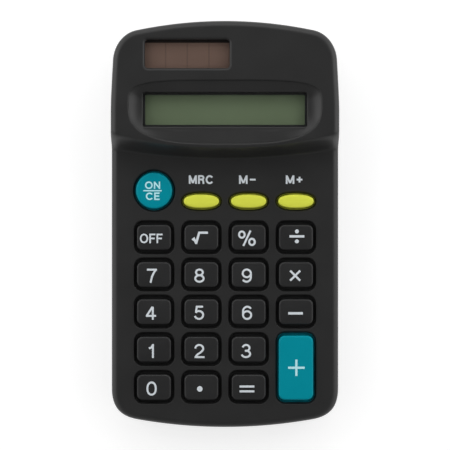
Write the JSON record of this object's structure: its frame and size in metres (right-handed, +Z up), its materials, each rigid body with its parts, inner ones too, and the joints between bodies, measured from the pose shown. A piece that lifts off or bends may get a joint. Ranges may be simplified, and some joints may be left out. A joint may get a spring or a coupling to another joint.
{
  "type": "pocket calculator",
  "caption": "Black plastic pocket calculator with a raised head holding a solar cell and an LCD in an oval bowl, and a deck of teal, yellow and black keys",
  "frame": {"origin": "centre of the box's underside, on the plane it lies on", "axes": "+X to the right of the display, +Y towards the display end, +Z up out of the keypad"},
  "size_m": [0.066, 0.1178, 0.0205],
  "materials": {
    "case_black": "fine satin texture",
    "key_black": "satin",
    "key_teal": "satin",
    "key_yellow": "satin",
    "clear_plastic": "clear, polished",
    "lcd": "grey-green reflective LCD behind glass",
    "solar_cell": "brown amorphous solar cell behind glass",
    "rubber_grey": "moulded silicone",
    "board_green": "solder mask",
    "resin_black": "moulded resin",
    "cell_jacket": "plain plastic film jacket",
    "nickel": "nickel plated spring steel",
    "screw_steel": "zinc plated",
    "wire_red": "insulated wire",
    "wire_black": "insulated wire"
  },
  "bodies": {
    "case": {"front_case": "case_black", "rear_case": "case_black", "display_window": "clear_plastic", "lcd_panel": "lcd", "lcd_connector": "rubber_grey", "solar_window": "clear_plastic", "solar_cell": "solar_cell", "rubber_keypad": "rubber_grey", "circuit_board": "board_green", "chip_blob": "resin_black", "resistor": "resin_black", "diode": "resin_black", "capacitor": "resin_black", "battery_cell": "cell_jacket", "battery_contact_positive": "nickel", "battery_contact_negative": "nickel", "battery_lead_positive": "wire_red", "battery_lead_negative": "wire_black", "solar_lead_positive": "wire_red", "solar_lead_negative": "wire_black", "case_screw_1": "screw_steel", "case_screw_2": "screw_steel", "case_screw_3": "screw_steel", "case_screw_4": "screw_steel", "board_screw_1": "screw_steel", "board_screw_2": "screw_steel", "board_screw_3": "screw_steel", "board_screw_4": "screw_steel", "board_screw_5": "screw_steel", "board_screw_6": "screw_steel"},
    "battery_door": {"battery_door": "case_black"},
    "key_on_ce": {"key_on_ce": "key_teal"},
    "key_mrc": {"key_mrc": "key_yellow"},
    "key_m_minus": {"key_m_minus": "key_yellow"},
    "key_m_plus": {"key_m_plus": "key_yellow"},
    "key_off": {"key_off": "key_black"},
    "key_sqrt": {"key_sqrt": "key_black"},
    "key_percent": {"key_percent": "key_black"},
    "key_divide": {"key_divide": "key_black"},
    "key_7": {"key_7": "key_black"},
    "key_8": {"key_8": "key_black"},
    "key_9": {"key_9": "key_black"},
    "key_multiply": {"key_multiply": "key_black"},
    "key_4": {"key_4": "key_black"},
    "key_5": {"key_5": "key_black"},
    "key_6": {"key_6": "key_black"},
    "key_minus": {"key_minus": "key_black"},
    "key_1": {"key_1": "key_black"},
    "key_2": {"key_2": "key_black"},
    "key_3": {"key_3": "key_black"},
    "key_0": {"key_0": "key_black"},
    "key_point": {"key_point": "key_black"},
    "key_equals": {"key_equals": "key_black"},
    "key_plus": {"key_plus": "key_teal"}
  },
  "joints": [
    {"name": "battery_door_slide", "type": "slide", "parent": "case", "child": "battery_door", "axis": [0, 1, 0], "range_m": [0, 0.021]},
    {"name": "key_on_ce_travel", "type": "slide", "parent": "case", "child": "key_on_ce", "axis": [0, 0, -1], "range_m": [0, 0.001], "stiffness_N_per_m": 300, "springref_m": -0.001},
    {"name": "key_mrc_travel", "type": "slide", "parent": "case", "child": "key_mrc", "axis": [0, 0, -1], "range_m": [0, 0.001], "stiffness_N_per_m": 300, "springref_m": -0.001},
    {"name": "key_m_minus_travel", "type": "slide", "parent": "case", "child": "key_m_minus", "axis": [0, 0, -1], "range_m": [0, 0.001], "stiffness_N_per_m": 300, "springref_m": -0.001},
    {"name": "key_m_plus_travel", "type": "slide", "parent": "case", "child": "key_m_plus", "axis": [0, 0, -1], "range_m": [0, 0.001], "stiffness_N_per_m": 300, "springref_m": -0.001},
    {"name": "key_off_travel", "type": "slide", "parent": "case", "child": "key_off", "axis": [0, 0, -1], "range_m": [0, 0.001], "stiffness_N_per_m": 300, "springref_m": -0.001},
    {"name": "key_sqrt_travel", "type": "slide", "parent": "case", "child": "key_sqrt", "axis": [0, 0, -1], "range_m": [0, 0.001], "stiffness_N_per_m": 300, "springref_m": -0.001},
    {"name": "key_percent_travel", "type": "slide", "parent": "case", "child": "key_percent", "axis": [0, 0, -1], "range_m": [0, 0.001], "stiffness_N_per_m": 300, "springref_m": -0.001},
    {"name": "key_divide_travel", "type": "slide", "parent": "case", "child": "key_divide", "axis": [0, 0, -1], "range_m": [0, 0.001], "stiffness_N_per_m": 300, "springref_m": -0.001},
    {"name": "key_7_travel", "type": "slide", "parent": "case", "child": "key_7", "axis": [0, 0, -1], "range_m": [0, 0.001], "stiffness_N_per_m": 300, "springref_m": -0.001},
    {"name": "key_8_travel", "type": "slide", "parent": "case", "child": "key_8", "axis": [0, 0, -1], "range_m": [0, 0.001], "stiffness_N_per_m": 300, "springref_m": -0.001},
    {"name": "key_9_travel", "type": "slide", "parent": "case", "child": "key_9", "axis": [0, 0, -1], "range_m": [0, 0.001], "stiffness_N_per_m": 300, "springref_m": -0.001},
    {"name": "key_multiply_travel", "type": "slide", "parent": "case", "child": "key_multiply", "axis": [0, 0, -1], "range_m": [0, 0.001], "stiffness_N_per_m": 300, "springref_m": -0.001},
    {"name": "key_4_travel", "type": "slide", "parent": "case", "child": "key_4", "axis": [0, 0, -1], "range_m": [0, 0.001], "stiffness_N_per_m": 300, "springref_m": -0.001},
    {"name": "key_5_travel", "type": "slide", "parent": "case", "child": "key_5", "axis": [0, 0, -1], "range_m": [0, 0.001], "stiffness_N_per_m": 300, "springref_m": -0.001},
    {"name": "key_6_travel", "type": "slide", "parent": "case", "child": "key_6", "axis": [0, 0, -1], "range_m": [0, 0.001], "stiffness_N_per_m": 300, "springref_m": -0.001},
    {"name": "key_minus_travel", "type": "slide", "parent": "case", "child": "key_minus", "axis": [0, 0, -1], "range_m": [0, 0.001], "stiffness_N_per_m": 300, "springref_m": -0.001},
    {"name": "key_1_travel", "type": "slide", "parent": "case", "child": "key_1", "axis": [0, 0, -1], "range_m": [0, 0.001], "stiffness_N_per_m": 300, "springref_m": -0.001},
    {"name": "key_2_travel", "type": "slide", "parent": "case", "child": "key_2", "axis": [0, 0, -1], "range_m": [0, 0.001], "stiffness_N_per_m": 300, "springref_m": -0.001},
    {"name": "key_3_travel", "type": "slide", "parent": "case", "child": "key_3", "axis": [0, 0, -1], "range_m": [0, 0.001], "stiffness_N_per_m": 300, "springref_m": -0.001},
    {"name": "key_0_travel", "type": "slide", "parent": "case", "child": "key_0", "axis": [0, 0, -1], "range_m": [0, 0.001], "stiffness_N_per_m": 300, "springref_m": -0.001},
    {"name": "key_point_travel", "type": "slide", "parent": "case", "child": "key_point", "axis": [0, 0, -1], "range_m": [0, 0.001], "stiffness_N_per_m": 300, "springref_m": -0.001},
    {"name": "key_equals_travel", "type": "slide", "parent": "case", "child": "key_equals", "axis": [0, 0, -1], "range_m": [0, 0.001], "stiffness_N_per_m": 300, "springref_m": -0.001},
    {"name": "key_plus_travel", "type": "slide", "parent": "case", "child": "key_plus", "axis": [0, 0, -1], "range_m": [0, 0.001], "stiffness_N_per_m": 300, "springref_m": -0.001}
  ]
}
